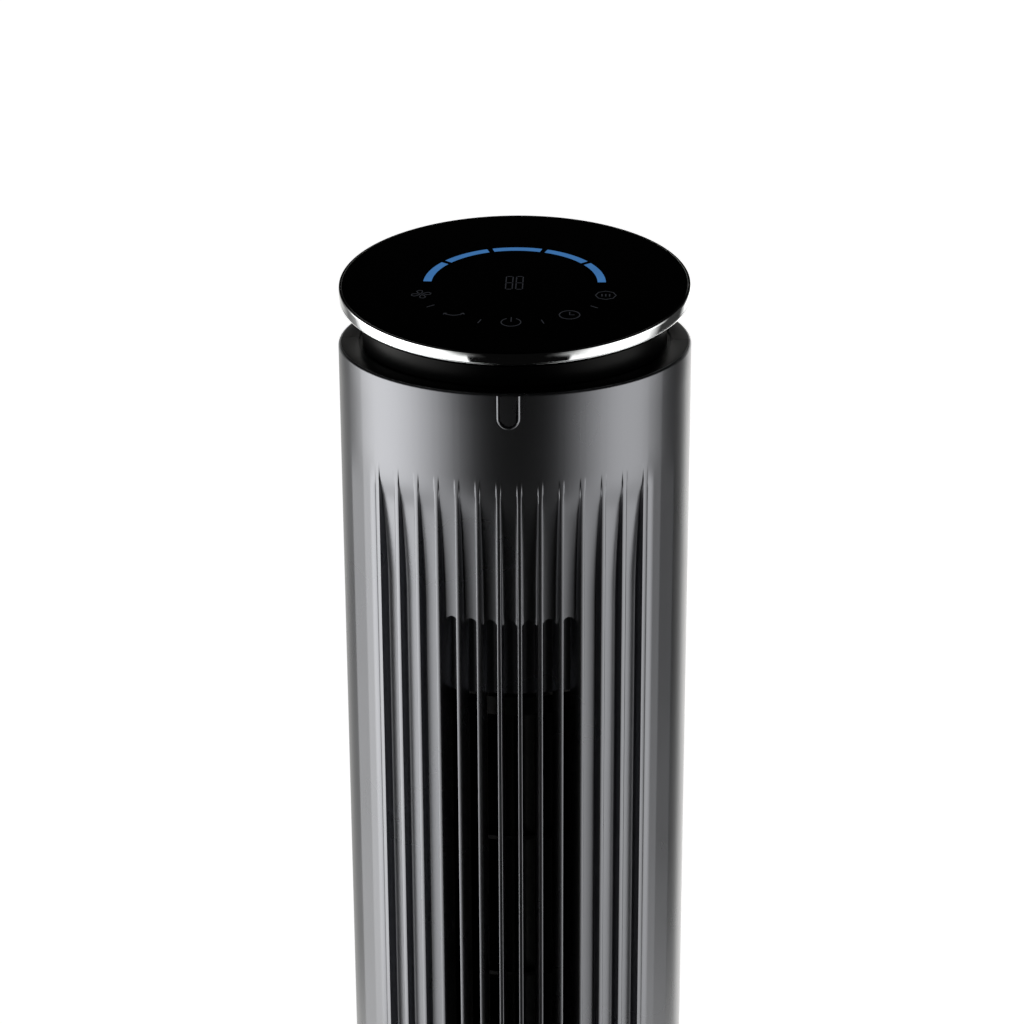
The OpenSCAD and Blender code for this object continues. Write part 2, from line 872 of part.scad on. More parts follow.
module light_guides() {
    span = 32;
    color([0.2, 0.42, 0.7])
        head_frame() translate([0, -arc_fore, 0])
            for (k = [0:4])
                rotate([0, 0, 18 + k * 36 - span / 2])
                    intersection() {
                        tube(arc_r + arc_w / 2, arc_r - arc_w / 2, board_top + 2, -glass_t);
                        linear_extrude(height = 40, center = true)
                            polygon([[0, 0], [90, 0], turn([90, 0], span / 2), turn([90, 0], span)]);
                    }
}

module digit_display() {
    color([0.15, 0.15, 0.16])
        head_frame() translate([-7, -4.5, board_top]) cube([14, 13, -glass_t - board_top]);
}

module touch_springs() {
    color([0.7, 0.7, 0.66])
        head_frame()
            polar(key_r, key_angles) tube(3, 2.2, board_top, -glass_t);
}

module board_screws() {
    color([0.6, 0.6, 0.62])
        head_frame()
            polar(board_screw_r, board_screw_angles)
                translate([0, 0, board_top]) screw(2, 1.2, 1.1, 5);
}

// outline of one curved blade that starts at the outer radius
function blade_outline() =
    let (
        lean = function (k) 14 * k * (1.6 - k * 0.6),
        out = imp_r - 0.4,
        rr = function (k) out - blade_depth * k,
        half = 0.6
    )
    concat(
        [for (k = [0:0.5:1]) turn([rr(k), half], -lean(k))],
        [for (k = [1:-0.5:0]) turn([rr(k), -half], -lean(k))]
    );

module impeller() {
    seg = (imp_top_z - imp_z) / segments;
    color([0.05, 0.05, 0.055])
        difference() {
            union() {
                disc(imp_r, imp_z, imp_z + 4);
                disc(hub_insert_r + 4, imp_z, imp_z + 16);
                translate([0, 0, imp_z + 2]) linear_extrude(height = imp_top_z - imp_z - 4)
                    for (k = [0:blades - 1]) rotate([0, 0, k * 360 / blades]) polygon(blade_outline());
                for (k = [1:segments - 1])
                    tube(imp_r, imp_r - blade_depth - 1.5, imp_z + k * seg - 1, imp_z + k * seg + 1);
                disc(imp_r, imp_top_z - imp_cap_h, imp_top_z);
                disc(shaft_r + 5, imp_top_z - 18, imp_top_z - 1);
            }
            disc(hub_insert_r + fit_gap, imp_z - 1, imp_z + 14);
            disc(shaft_r + fit_gap, imp_top_z - 16, imp_top_z + 1);
        }
}

module impeller_hub() {
    color([0.65, 0.66, 0.68])
        difference() {
            disc(hub_insert_r, imp_z - 12, imp_z + 13);
            disc(shaft_r + fit_gap, imp_z - 13, imp_z + 11);
            translate([0, 0, imp_z - 6]) rotate([0, 90, 0]) cylinder(r = 2 + fit_gap, h = 20);
        }
}

module hub_set_screw() {
    color([0.3, 0.3, 0.32])
        translate([shaft_r + 0.1, 0, imp_z - 6]) rotate([0, 90, 0]) cylinder(r = 2, h = 4.6);
}

module top_stub_shaft() {
    color([0.7, 0.7, 0.72]) disc(shaft_r, imp_top_z - 15.5, bush_z + 12);
}

module rotor() {
    color([0.35, 0.35, 0.37])
        tube(stator_r - 0.5, shaft_r + fit_gap, motor_z[0] + winding_gap, motor_z[1] - winding_gap);
}

module motor_shaft() {
    color([0.7, 0.7, 0.72]) disc(shaft_r, motor_z[0] - 6, imp_z + 10);
}

module swing_pinion() {
    color([0.85, 0.85, 0.8])
        translate([0, drive_y, gear_z])
            difference() {
                rotate([0, 0, -90]) linear_extrude(height = gear_w) gear_outline(pinion_teeth);
                translate([0, 0, -1]) cylinder(r = pin_shaft_r + fit_gap, h = gear_w + 2);
            }
}

module pinion_shaft() {
    color([0.7, 0.7, 0.72]) translate([0, drive_y, 0]) disc(pin_shaft_r, gear_z - 1, plate2_z + 8);
}

rubber_feet();
base_plate();
base_cover();
base_weight();
base_screws();
pivot_post();
post_screws();
swing_gear();
thrust_ring();
post_clip();
cord_gland();
swivel_plate();
swivel_screws();
swing_motor();
swing_motor_screws();
front_housing();
rear_housing();
intake_grille();
carry_handle();
housing_screws();
lower_bulkhead();
upper_bulkhead();
bulkhead_screws();
scroll_wall();
tongue_wall();
motor_case_lower();
motor_case_upper();
stator();
motor_bushes();
motor_mounts();
motor_screws();
top_bearing();
bearing_rubber();
bearing_cap();
bearing_screws();
power_board();
power_parts();
ir_window();
ir_receiver();
neck();
neck_screws();
head_pan();
chrome_ring();
touch_glass();
control_board();
light_guides();
digit_display();
touch_springs();
board_screws();
impeller();
impeller_hub();
hub_set_screw();
top_stub_shaft();
rotor();
motor_shaft();
swing_pinion();
pinion_shaft();
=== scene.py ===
import bpy, bmesh, math
from mathutils import Matrix, Vector


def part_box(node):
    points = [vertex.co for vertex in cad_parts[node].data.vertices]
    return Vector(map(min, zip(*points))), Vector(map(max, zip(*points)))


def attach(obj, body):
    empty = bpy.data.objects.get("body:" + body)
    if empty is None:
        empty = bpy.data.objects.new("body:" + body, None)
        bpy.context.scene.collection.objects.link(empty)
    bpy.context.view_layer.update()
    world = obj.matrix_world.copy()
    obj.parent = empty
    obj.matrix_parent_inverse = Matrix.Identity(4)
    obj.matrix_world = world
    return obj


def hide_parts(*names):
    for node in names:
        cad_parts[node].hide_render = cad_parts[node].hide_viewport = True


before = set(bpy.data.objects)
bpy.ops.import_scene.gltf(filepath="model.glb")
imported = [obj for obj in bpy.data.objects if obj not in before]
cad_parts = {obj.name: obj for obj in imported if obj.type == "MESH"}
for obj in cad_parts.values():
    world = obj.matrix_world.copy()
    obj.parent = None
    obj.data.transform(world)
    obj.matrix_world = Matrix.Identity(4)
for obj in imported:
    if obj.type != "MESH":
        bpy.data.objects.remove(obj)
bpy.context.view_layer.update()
mm = 0.001
print("frame loaded:", len(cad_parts), "nodes")

lowFront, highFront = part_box("front_housing")
rimZ = highFront.z / mm          # all sizes below are in millimetres
colR = highFront.x / mm
footZ = lowFront.z / mm

studio = {
    "distance": 1264, "above rim": 398.7, "aside": -1.7,     # where the lens stands
    "pitch": 20.92, "yaw": 2.2, "roll": -0.289, "lens": 102.49,
    # soft strips round the fan: degrees to the right of the lens, and how bright
    "strips": [(-180, 0.3), (-156, 0.16), (-142, 0.04), (-131, 0.08), (-120, 0.5), (-108, 0.95),
               (-98, 1.0), (-84, 0.98), (-70, 0.8), (-57, 0.54), (-46, 0.32), (-37, 0.11),
               (-27, 0.015), (-20, 0), (20, 0), (27, 0.015),
               (36, 0.09), (45, 0.22), (56, 0.4), (68, 0.58), (90, 0.58), (102, 0.3), (113, 0.01),
               (140, 0.01), (152, 0.4), (180, 0.45)],
    # the bright table round the fan, with the lens's own dark gap in front
    "table": [(-180, 0.4), (-33.5, 0.4), (-32.5, 0), (38.5, 0), (39.5, 0.34), (180, 0.4)],
    "strip light": 3.9, "dim light": 0.003, "pale world": 1.0, "lowest": 60, "highest": 4, "floor glow": 0.99,
    "table edge": 30,
}


def aimCamera():
    data = bpy.data.cameras.new("camera")
    data.lens, data.sensor_width, data.clip_end = studio["lens"], 36, 60
    camera = bpy.data.objects.new("camera", data)
    bpy.context.collection.objects.link(camera)
    yaw, pitch, roll = (math.radians(studio[k]) for k in ("yaw", "pitch", "roll"))
    spot = Vector((studio["aside"], -studio["distance"], rimZ + studio["above rim"])) * mm
    look = Matrix.Rotation(math.pi / 2 - pitch, 4, "X") @ Matrix.Rotation(roll, 4, "Z")
    camera.matrix_world = Matrix.Rotation(yaw, 4, "Z") @ Matrix.Translation(spot) @ look
    bpy.context.scene.camera = camera


def toLinear(code):
    parts = [int(code[k:k + 2], 16) / 255 for k in (1, 3, 5)]
    return [c / 12.92 if c <= 0.04045 else ((c + 0.055) / 1.055) ** 2.4 for c in parts] + [1.0]


def addNode(tree, kind, settings=None, values=None, links=None):
    node = tree.nodes.new(kind)
    for name, value in (settings or {}).items():
        setattr(node, name, value)
    for name, value in (values or {}).items():
        node.inputs[name].default_value = value
    for name, source in (links or {}).items():
        tree.links.new(source, node.inputs[name])
    return node


def maths(tree, operation, first, second, third=None):
    node = addNode(tree, "ShaderNodeMath", {"operation": operation})
    for k, value in enumerate((first, second, third)):
        if isinstance(value, (int, float)):
            node.inputs[k].default_value = value
        elif value is not None:
            tree.links.new(value, node.inputs[k])
    return node.outputs[0]


# The light comes from soft upright strips; the lens itself sees only a pale backdrop.
def buildStudio():
    world = bpy.data.worlds.new("studio")
    bpy.context.scene.world = world
    world.use_nodes = True
    tree = world.node_tree
    tree.nodes.clear()
    spot = addNode(tree, "ShaderNodeTexCoord").outputs["Generated"]
    axes = addNode(tree, "ShaderNodeSeparateXYZ", links={0: spot}).outputs
    back = maths(tree, "MULTIPLY", axes["Y"], -1.0)
    azimuth = maths(tree, "ARCTAN2", axes["X"], back)
    along = maths(tree, "MULTIPLY_ADD", azimuth, 1 / (2 * math.pi), 0.5 - studio["yaw"] / 360)
    ramps = []
    for name in ("strips", "table"):
        ramp = addNode(tree, "ShaderNodeValToRGB", links={"Fac": along})
        stops = ramp.color_ramp.elements
        while len(stops) < len(studio[name]):
            stops.new(0.5)
        for stop, (turn, bright) in zip(stops, studio[name]):
            stop.position = turn / 360 + 0.5
            stop.color = (bright, bright, bright, 1)
        ramps.append(ramp.outputs["Color"])
    edge = -math.sin(math.radians(studio["table edge"]))
    below = addNode(tree, "ShaderNodeMapRange", values={"From Min": edge, "From Max": edge - 0.04},
                    links={"Value": axes["Z"]}).outputs["Result"]
    ring = addNode(tree, "ShaderNodeMix", links={"Factor": below, "A": ramps[0], "B": ramps[1]})
    ring = ring.outputs["Result"]
    low, high = (math.sin(math.radians(studio[k])) for k in ("lowest", "highest"))
    over = addNode(tree, "ShaderNodeMapRange", {"interpolation_type": "SMOOTHSTEP"},
                   {"From Min": high + 0.2, "From Max": high}, {"Value": axes["Z"]}).outputs["Result"]
    under = addNode(tree, "ShaderNodeMapRange", {"interpolation_type": "SMOOTHSTEP"},
                    {"From Min": -low - 0.2, "From Max": -low}, {"Value": axes["Z"]}).outputs["Result"]
    level = maths(tree, "MULTIPLY", maths(tree, "MULTIPLY", over, under), ring)
    level = maths(tree, "MULTIPLY_ADD", level, studio["strip light"], studio["dim light"])
    strips = addNode(tree, "ShaderNodeBackground", values={"Color": (0.955, 0.95, 0.925, 1)},
                     links={"Strength": level})
    pale = addNode(tree, "ShaderNodeBackground",
                   values={"Color": (1, 1, 1, 1), "Strength": studio["pale world"]})
    seen = addNode(tree, "ShaderNodeLightPath").outputs["Is Camera Ray"]
    mix = addNode(tree, "ShaderNodeMixShader", links={0: seen, 1: strips.outputs[0], 2: pale.outputs[0]})
    addNode(tree, "ShaderNodeOutputWorld", links={"Surface": mix.outputs[0]})
    bpy.context.scene.view_settings.view_transform = "Standard"


def layFloor():
    bm = bmesh.new()
    bmesh.ops.create_grid(bm, x_segments=2, y_segments=2, size=30)
    mesh = bpy.data.meshes.new("floor")
    bm.to_mesh(mesh)
    bm.free()
    floor = bpy.data.objects.new("floor", mesh)
    bpy.context.collection.objects.link(floor)
    pale = bpy.data.materials.new("pale studio floor")
    pale.use_nodes = True
    surface = pale.node_tree.nodes["Principled BSDF"]
    surface.inputs["Base Color"].default_value = toLinear("#fbfbfb")
    surface.inputs["Roughness"].default_value = 0.9
    surface.inputs["Emission Color"].default_value = (1, 1, 1, 1)
    surface.inputs["Emission Strength"].default_value = studio["floor glow"]
    mesh.materials.append(pale)
    floor.visible_glossy = floor.visible_diffuse = floor.visible_shadow = False


made = {}


def newMaterial(name):
    material = bpy.data.materials.new(name)
    material.use_nodes = True
    tree = material.node_tree
    surface = tree.nodes["Principled BSDF"]
    spot = addNode(tree, "ShaderNodeTexCoord").outputs["Object"]
    made[name] = material
    return material, tree, surface, spot


# A moulded or painted skin: slow colour drift, slow gloss drift and a fine grain in the bump.
def skin(name, dark, light, metallic, rough, grainMm, grain, ior=None, coat=0, driftMm=60):
    material, tree, surface, spot = newMaterial(name)
    drift = addNode(tree, "ShaderNodeTexNoise", values={"Scale": 1000 / driftMm, "Detail": 3},
                    links={"Vector": spot})
    tint = addNode(tree, "ShaderNodeMix", {"data_type": "RGBA"}, {"A": toLinear(dark), "B": toLinear(light)},
                   {"Factor": drift.outputs["Fac"]})
    gloss = addNode(tree, "ShaderNodeMapRange", values={"To Min": rough - 0.03, "To Max": rough + 0.03},
                    links={"Value": drift.outputs["Fac"]})
    fine = addNode(tree, "ShaderNodeTexNoise", values={"Scale": 1000 / grainMm, "Detail": 2},
                   links={"Vector": spot})
    bump = addNode(tree, "ShaderNodeBump", values={"Strength": grain, "Distance": grainMm * mm * 0.2},
                   links={"Height": fine.outputs["Fac"]})
    tree.links.new(tint.outputs["Result"], surface.inputs["Base Color"])
    tree.links.new(gloss.outputs["Result"], surface.inputs["Roughness"])
    tree.links.new(bump.outputs["Normal"], surface.inputs["Normal"])
    surface.inputs["Metallic"].default_value = metallic
    if ior:
        surface.inputs["IOR"].default_value = ior
    if coat:
        surface.inputs["Coat Weight"].default_value = coat
        surface.inputs["Coat Roughness"].default_value = 0.12
    return material


def mixMaterials():
    # Gunmetal flake lacquer on ABS: broad silky highlights, nearly black where nothing is reflected.
    skin("gunmetal lacquer", "#6f7074", "#737478", 0.95, 0.28, 0.5, 0.06)
    # Satin ABS of the intake grille, dark grey with a fine spark-eroded grain.
    skin("satin ABS", "#2b2c2f", "#323336", 0.0, 0.42, 0.5, 0.3, ior=1.5)
    # Dark satin ABS of the base cover.
    skin("base ABS", "#1c1d20", "#232428", 0.3, 0.33, 0.6, 0.2, ior=1.5)
    # Moulded black ABS of hidden and inner pieces; the colour is set darker than the plastic itself as
    # painted shade for the dark inside of the column.
    skin("black ABS", "#050506", "#09090a", 0.0, 0.38, 0.5, 0.3, ior=1.45)
    # Satin black ABS of the neck.
    skin("satin black ABS", "#030304", "#050506", 0.0, 0.3, 0.8, 0.1, ior=1.16)
    # Polished black acrylic of the receiver window.
    skin("piano black", "#08080a", "#0a0a0c", 0.0, 0.14, 3.0, 0.02, ior=1.5)
    # Black-printed float glass: mirror-smooth, with a trace of handling haze.
    skin("black glass", "#010102", "#020203", 0.0, 0.05, 20.0, 0.01, ior=1.5)
    # Vacuum-plated chrome on ABS.
    skin("chrome plate", "#e6e8ea", "#eef0f2", 1.0, 0.06, 8.0, 0.03)
    # EPDM rubber: matte, grey bloom.
    skin("EPDM rubber", "#0e0e0e", "#1a1a19", 0.0, 0.8, 0.4, 0.5, ior=1.52)
    # Zinc-plated steel: bright with a faint yellow-blue drift.
    skin("zinc plated steel", "#a9abab", "#bfc0bd", 1.0, 0.3, 0.6, 0.2, driftMm=6)
    # Black oxide steel of the housing screws.
    skin("black oxide steel", "#1b1b1c", "#272728", 0.8, 0.4, 0.4, 0.2, driftMm=4)
    # Sand-cast iron ballast under thin paint.
    skin("painted cast iron", "#2b2c2e", "#3a3b3d", 0.3, 0.6, 1.4, 0.9, driftMm=14)
    # Natural acetal: waxy off-white.
    skin("natural acetal", "#d9d8cf", "#e3e2da", 0.0, 0.38, 0.8, 0.1, ior=1.48)
    # Oil-filled sintered bronze.
    skin("sintered bronze", "#8a6a3c", "#a2804d", 1.0, 0.45, 0.3, 0.5, driftMm=3)
    # Enamelled copper over stacked laminations.
    skin("enamelled copper", "#7a3f1e", "#a3592c", 0.8, 0.35, 0.9, 0.8, driftMm=3)
    # Ground rotor steel.
    skin("ground steel", "#77797c", "#8b8d90", 1.0, 0.32, 0.3, 0.3, driftMm=5)
    # Green solder mask.
    skin("solder mask", "#0b3a22", "#10492c", 0.0, 0.3, 1.2, 0.2, ior=1.5, driftMm=8)
    # Black and blue component bodies.
    skin("component bodies", "#15161c", "#23252f", 0.0, 0.45, 0.6, 0.3, ior=1.5, driftMm=10)
    # Machined aluminium of the hub insert.
    skin("machined aluminium", "#a8aaad", "#b9bbbe", 1.0, 0.28, 0.25, 0.4, driftMm=5)
    lit, tree, surface, spot = newMaterial("blue light guide")
    glow = addNode(tree, "ShaderNodeTexNoise", values={"Scale": 120.0, "Detail": 1}, links={"Vector": spot})
    tint = addNode(tree, "ShaderNodeMix", {"data_type": "RGBA"},
                   {"A": toLinear("#38699f"), "B": toLinear("#3f74ae")}, {"Factor": glow.outputs["Fac"]})
    tree.links.new(tint.outputs["Result"], surface.inputs["Emission Color"])
    surface.inputs["Base Color"].default_value = toLinear("#0a1a2c")
    surface.inputs["Emission Strength"].default_value = 0.95
    # Grey screen print under the glass, hardly brighter than the black; its emission is a painted glow that
    # stands in for light falling on the print.
    printed = skin("grey key print with painted glow", "#1c1d20", "#222327", 0.0, 0.3, 1.0, 0.05, ior=1.3)
    surface = printed.node_tree.nodes["Principled BSDF"]
    # painted glow: the print shines by itself, though it is no lamp
    surface.inputs["Emission Color"].default_value = toLinear("#25262a")
    surface.inputs["Emission Strength"].default_value = 1.0


nodeFinish = {
    "black ABS": "base_plate swivel_plate lower_bulkhead upper_bulkhead scroll_wall tongue_wall "
                 "bearing_cap head_pan impeller carry_handle",
    "EPDM rubber": "rubber_feet cord_gland motor_mounts bearing_rubber",
    "painted cast iron": "base_weight",
    "zinc plated steel": "base_screws post_screws swivel_screws swing_motor_screws bulkhead_screws "
                         "motor_screws bearing_screws neck_screws board_screws post_clip "
                         "motor_shaft top_stub_shaft pinion_shaft touch_springs "
                         "swing_motor motor_case_lower motor_case_upper",
    "black oxide steel": "housing_screws hub_set_screw",
    "natural acetal": "pivot_post swing_gear thrust_ring swing_pinion",
    "sintered bronze": "motor_bushes top_bearing",
    "enamelled copper": "stator",
    "ground steel": "rotor",
    "solder mask": "power_board control_board",
    "component bodies": "power_parts ir_receiver digit_display",
    "machined aluminium": "impeller_hub",
    "blue light guide": "light_guides",
    "gunmetal lacquer": "rear_housing front_housing",
    "satin ABS": "intake_grille",
    "base ABS": "base_cover",
    "piano black": "ir_window",
    "satin black ABS": "neck",
    "black glass": "touch_glass",
    "chrome plate": "chrome_ring",
}


def finishNodes():
    for finish, names in nodeFinish.items():
        for name in names.split():
            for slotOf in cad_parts[name].material_slots:
                slotOf.material = made[finish]


def finishPiece(bm, name, finish, body, smooth=40, merge=True):
    if merge:
        bmesh.ops.remove_doubles(bm, verts=bm.verts, dist=1e-6)
    bmesh.ops.scale(bm, vec=(mm, mm, mm), verts=bm.verts)
    bm.edges.index_update()
    rims = [edge.index for edge in bm.edges if edge.is_boundary]
    mesh = bpy.data.meshes.new(name)
    bm.to_mesh(mesh)
    bm.free()
    piece = bpy.data.objects.new(name, mesh)
    bpy.context.collection.objects.link(piece)
    mesh.materials.append(made[finish])
    mesh.shade_smooth()
    mesh.set_sharp_from_angle(angle=math.radians(smooth))
    for k in rims:                                           # a thickened sheet keeps crisp rims
        mesh.edges[k].use_edge_sharp = True
    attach(piece, body)
    return piece


# Turns an outline of (radius, height) points about the z axis; a closed outline makes a ring.
def turned(outline, steps, closed=True, arc=2 * math.pi, start=0):
    bm = bmesh.new()
    dots = [bm.verts.new((r * math.cos(start), r * math.sin(start), z)) for r, z in outline]
    edges = [bm.edges.new(pair) for pair in zip(dots, dots[1:])]
    if closed:
        edges.append(bm.edges.new((dots[-1], dots[0])))
    full = abs(arc - 2 * math.pi) < 1e-6
    bmesh.ops.spin(bm, geom=dots + edges, cent=(0, 0, 0), axis=(0, 0, 1), angle=arc, steps=steps,
                   use_merge=full)
    bmesh.ops.remove_doubles(bm, verts=bm.verts, dist=1e-4)
    bmesh.ops.recalc_face_normals(bm, faces=bm.faces)
    return bm


# Rounds each corner of an outline; a corner is (across, up, radius).
def rounded(corners, steps=5):
    points = []
    count = len(corners)
    for k, (x, z, radius) in enumerate(corners):
        here = Vector((x, z))
        before = Vector(corners[k - 1][:2]) - here
        after = Vector(corners[(k + 1) % count][:2]) - here
        if radius <= 0:
            points.append((x, z))
            continue
        half = before.angle(after) / 2
        back = min(radius / math.tan(half), before.length * 0.49, after.length * 0.49)
        for j in range(steps + 1):
            t = j / steps
            p = (1 - t) ** 2 * (before.normalized() * back) + t ** 2 * (after.normalized() * back)
            points.append(tuple(here + p))
    return points


def headPlace():
    tilt = math.radians(head["tilt"])
    return Matrix.Translation((0, 0, rimZ + head["height"])) @ Matrix.Rotation(tilt, 4, "X")


def smoothStep(t):
    t = min(1, max(0, t))
    return t * t * (3 - 2 * t)


shell = {
    "fin pitch": 9.15, "crest": 1.9, "crest corner": 0.35, "flutes": 13, "open flutes": 7,
    "flute depth": 4.2, "fin depth": 11.0, "step depth": 10.7, "hollow": 0.3, "draft": 0.2,
    "tip drop": 40.0, "full drop": 102.0, "arch drop": 109.5, "arch rise": 2.6, "step height": 36.0,
    "tip z": 112.0, "full z": 174.0, "arch z": 185.0,
    "facet edge": 72.5, "facet middle": 66.4, "facet inset": 0.8,
    "skin": 0.85, "seam gap": 0.12, "rim corner": 1.3, "neck seat": 71.0, "top hole": 58.0,
}


# A flute starts softly, then deepens fast and settles.
def easeOut(t):
    t = min(1, max(0, t))
    return (1 - (1 - t) ** 1.8) * (0.3 + 0.7 * smoothStep(t / 0.3))


def fluteGrowth(z):
    upper = easeOut((rimZ - shell["tip drop"] - z) / (shell["full drop"] - shell["tip drop"]))
    lower = easeOut((z - shell["tip z"]) / (shell["full z"] - shell["tip z"]))
    return min(upper, lower)


def facetGrowth(z):
    return min(smoothStep((rimZ - shell["tip drop"] + 8 - z) / 26), smoothStep((z - shell["tip z"] + 8) / 26))


def finX(k):
    return (k - shell["flutes"] / 2) * shell["fin pitch"]


def isOpen(k):
    return abs(k - (shell["flutes"] - 1) / 2) < shell["open flutes"] / 2


def facetX():
    outer = finX(shell["flutes"]) + shell["crest"] / 2
    edge, middle = shell["facet edge"], shell["facet middle"]
    return [edge + 0.35, edge, edge - 0.35, (edge + middle) / 2, middle + 0.35, middle, middle - 0.35,
            (outer + middle) / 2, outer + 0.3]


# The columns of the front shell from one seam to the other: plain skin, side facets,
# and for each fin a rounded crest, then the two sides and the floor of the flute beside it.
def frontColumns():
    c, r = shell["crest"] / 2, shell["crest corner"]
    edge = math.asin(shell["facet edge"] / colR)
    skinX = [colR * math.sin(math.pi / 2 + (edge - math.pi / 2) * k / 12) for k in range(12)]
    columns = [("skin", -x) for x in skinX] + [("facet", -x) for x in facetX()]
    crest = [(-c, r), (-c + r * 0.3, r * 0.29), (-c + r, 0), (0, 0)]
    crest += [(-across, drop) for across, drop in crest[-2::-1]]
    for k in range(shell["flutes"] + 1):
        columns += [("crest", finX(k) + offset, drop) for offset, drop in crest]
        if k < shell["flutes"]:
            columns += [("side", k, t, -1) for t in (0.3, 0.6, 0.9)]
            columns += [("floor", k, t) for t in (-0.93, -0.72, -0.4, 0, 0.4, 0.72, 0.93)]
            columns += [("side", k, t, 1) for t in (0.9, 0.6, 0.3)]
    return columns + [("facet", x) for x in reversed(facetX())] + [("skin", x) for x in reversed(skinX)]


# Rows are (height, distance inside the column's surface). Both shells share the foot and the rim.
def footRows():
    return [(footZ, 4.0), (footZ, 1.2), (footZ + 0.12, 0.5), (footZ + 0.5, 0.12), (footZ + 1.2, 0)]


def rimRows():
    corner, seat = shell["rim corner"], colR - shell["neck seat"]
    rows = []
    for k in range(1, 6):
        turn = math.radians(18 * k)
        rows.append((rimZ - corner + corner * math.sin(turn), corner - corner * math.cos(turn)))
    return rows + [(rimZ, seat - 0.3), (rimZ - 0.1, seat - 0.05), (rimZ - 0.7, seat),
                   (rimZ - 0.75, seat + 0.3), (rimZ - 0.75, colR - shell["top hole"])]


def frontRows():
    rows = footRows() + [(footZ + 22, 0)]
    lowTip, lowFull, lowArch = shell["tip z"], shell["full z"], shell["arch z"]
    tip, full, arch = (rimZ - shell[k] for k in ("tip drop", "full drop", "arch drop"))
    rows += [(lowTip - 9 + k * 3, 0) for k in range(3)]
    rows += [(lowTip + (lowFull - lowTip) * (k / 22) ** 1.4, 0) for k in range(23)]
    rows += [(lowArch - 6, 0), (lowArch, 0), (lowArch + 0.1, 0)]
    rows += [(lowArch + (arch - lowArch) * k / 12, 0) for k in range(1, 12)]
    rows += [(arch - 0.1, 0), (arch, 0), (arch + 6, 0)]
    rows += [(tip + (full - tip) * (1 - k / 26) ** 1.4, 0) for k in range(27)]
    rows += [(tip + 3 * k, 0) for k in range(1, 4)] + [(rimZ - 14, 0), (rimZ - shell["rim corner"], 0)]
    return rows + rimRows()


def sideY(x):
    return -math.sqrt(max(0, colR * colR - x * x))


def facetY(x):
    outer = finX(shell["flutes"]) + shell["crest"] / 2
    edge, middle = shell["facet edge"], shell["facet middle"]
    corners = [(outer, sideY(outer)), (middle, sideY(middle) + shell["facet inset"]), (edge, sideY(edge))]
    x = abs(x)
    for (x0, y0), (x1, y1) in zip(corners, corners[1:]):
        if x0 <= x <= x1:
            return y0 + (y1 - y0) * (x - x0) / (x1 - x0)
    return sideY(x)


# A point on the side of a fin, the given depth towards the axis.
def finSide(k, hand, depth, draft):
    fin = finX(k if hand < 0 else k + 1)
    edge = fin - hand * shell["crest"] / 2
    inward, across = Vector((-fin, -sideY(fin))) / colR, Vector((-sideY(fin), fin)) / colR
    return Vector((edge, sideY(edge))) + inward * depth - across * hand * draft


def floorPoint(k, t, depth, hollow):
    left, right = finSide(k, -1, depth, shell["draft"]), finSide(k, 1, depth, shell["draft"])
    part = (t + 1) / 2
    radius = left.length * (1 - part) + right.length * part
    return left.lerp(right, part).normalized() * (radius - hollow * (1 - t * t))


def frontPoint(column, z, openRow):
    kind = column[0]
    growth = fluteGrowth(z)
    corner = shell["crest corner"] * min(1, growth * 4)
    if kind in ("skin", "facet", "crest"):
        x = column[1]
        y = sideY(x)
        if kind == "facet":
            y += (facetY(x) - y) * facetGrowth(z)
        if kind == "crest":
            y += column[2] * min(1, growth * 4)
        return x, y
    k, t = column[1], column[2]
    deep = max(shell["flute depth"] * growth, corner)
    if kind == "floor":
        return tuple(floorPoint(k, t, deep, shell["hollow"] * growth))
    if openRow and isOpen(k):
        deep = shell["fin depth"]
    return tuple(finSide(k, column[3], corner + (deep - corner) * t / 0.9 * 0.97, shell["draft"] * t))


def makeFrontShell():
    columns, rows = frontColumns(), frontRows()
    arch = {rimZ - shell["arch drop"]: 1, shell["arch z"]: -1}
    low, high = shell["arch z"] + 0.05, rimZ - shell["arch drop"] - 0.05
    bm = bmesh.new()
    grid = bmesh.ops.create_grid(bm, x_segments=len(columns) - 1, y_segments=len(rows) - 1, size=1)["verts"]
    order = sorted(grid, key=lambda v: (round(v.co.y, 6), v.co.x))
    place = {}
    for n, vert in enumerate(order):
        row, col = divmod(n, len(columns))
        place[vert] = row, col
        z, inset = rows[row]
        column = columns[col]
        x, y = frontPoint(column, z, low < z < high)
        if col in (0, len(columns) - 1):
            x, y = math.copysign(colR, x), 0
        if column[0] == "floor" and isOpen(column[1]) and z in arch:
            z += arch[z] * shell["arch rise"] * (1 - column[2] ** 2)
        shrink = (colR - inset) / colR
        vert.co = (x * shrink, min(y * shrink, -shell["seam gap"]), z)
    gone = []
    for face in bm.faces:
        spots = [place[v] for v in face.verts]
        if any(low < rows[row][0] < high for row, col in spots):
            if any(columns[col][0] == "floor" and isOpen(columns[col][1]) for row, col in spots):
                gone.append(face)
    bmesh.ops.delete(bm, geom=gone, context="FACES")
    bmesh.ops.recalc_face_normals(bm, faces=bm.faces)
    return bm


# The deeper wall behind each open flute, above and below the outlet.
def makeStepWalls():
    bm = bmesh.new()
    arch, lowArch, tall = rimZ - shell["arch drop"], shell["arch z"], shell["step height"]
    for k in filter(isOpen, range(shell["flutes"])):
        for top, bottom in ((arch + 6, arch - tall), (lowArch + tall, lowArch - 6)):
            for vert in bmesh.ops.create_grid(bm, x_segments=8, y_segments=4, size=1)["verts"]:
                across, up = vert.co.x, (vert.co.y + 1) / 2
                x, y = floorPoint(k, across, shell["step depth"], shell["hollow"] * 2)
                vert.co = (x, y, bottom + (top - bottom) * up)
    bmesh.ops.recalc_face_normals(bm, faces=bm.faces)
    return bm


def thicken(piece, thickness, even=False):
    wall = piece.modifiers.new("wall", "SOLIDIFY")
    wall.thickness, wall.offset, wall.use_even_offset = thickness * mm, -1, even


